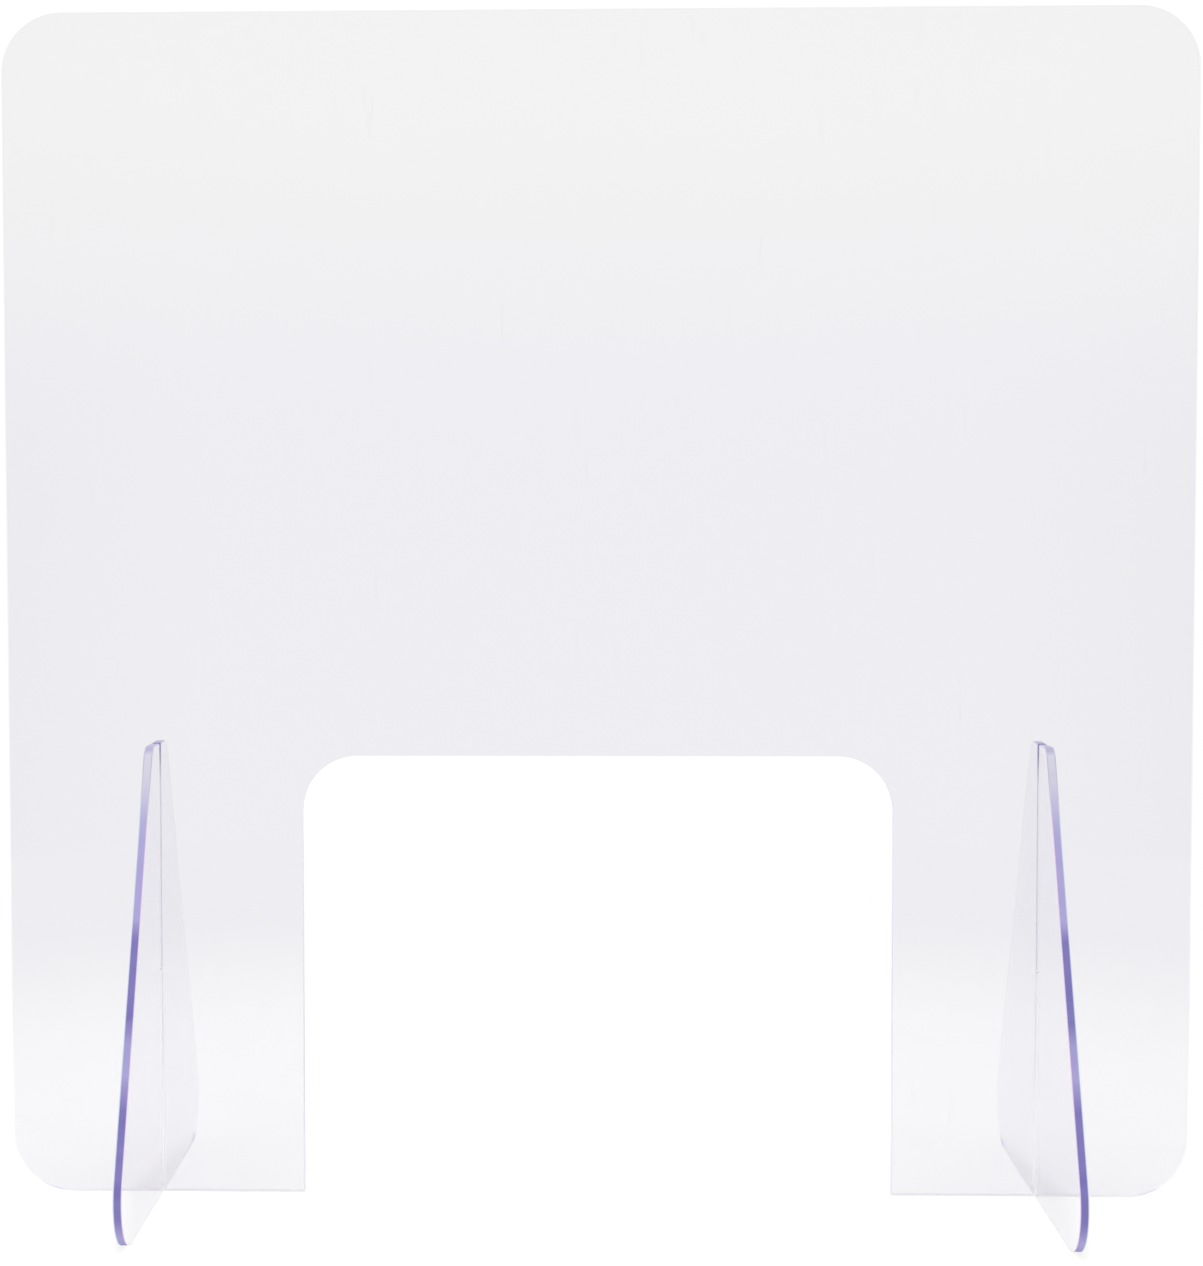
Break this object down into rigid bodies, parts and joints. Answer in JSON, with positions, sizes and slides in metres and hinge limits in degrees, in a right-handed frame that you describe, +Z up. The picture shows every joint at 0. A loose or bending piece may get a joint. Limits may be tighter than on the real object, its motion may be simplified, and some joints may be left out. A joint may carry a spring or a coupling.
{
  "type": "counter sneeze guard",
  "caption": "Free-standing clear counter guard: a square sheet panel with a round-cornered pass-through, standing in two slotted tapered feet.",
  "frame": {"origin": "on the counter, straight under the middle of the panel, at the bottom centre of the whole object's box", "axes": "+Z up, +X along the counter to the customer's right, +Y from the customer towards the server, through the panel"},
  "size_m": [0.6096, 0.2286, 0.6096],
  "materials": {
    "clear_sheet": "polished clear sheet with saw-cut, scraped edges",
    "clear_foot_sheet": "polished clear sheet, violet where seen through the cut edge"
  },
  "bodies": {
    "left_foot": {"left_foot": "clear_foot_sheet"},
    "panel": {"panel": "clear_sheet"},
    "right_foot": {"right_foot": "clear_foot_sheet"}
  },
  "joints": [
    {"name": "panel_lift", "type": "slide", "parent": "left_foot", "child": "panel", "axis": [0, 0, 1], "range_m": [0, 0.12]},
    {"name": "right_foot_slide", "type": "slide", "parent": "panel", "child": "right_foot", "axis": [0, 0, -1], "range_m": [0, 0.12]}
  ],
  "couplings": [
    {"joint": "right_foot_slide", "follows": "panel_lift", "ratio": 1}
  ]
}
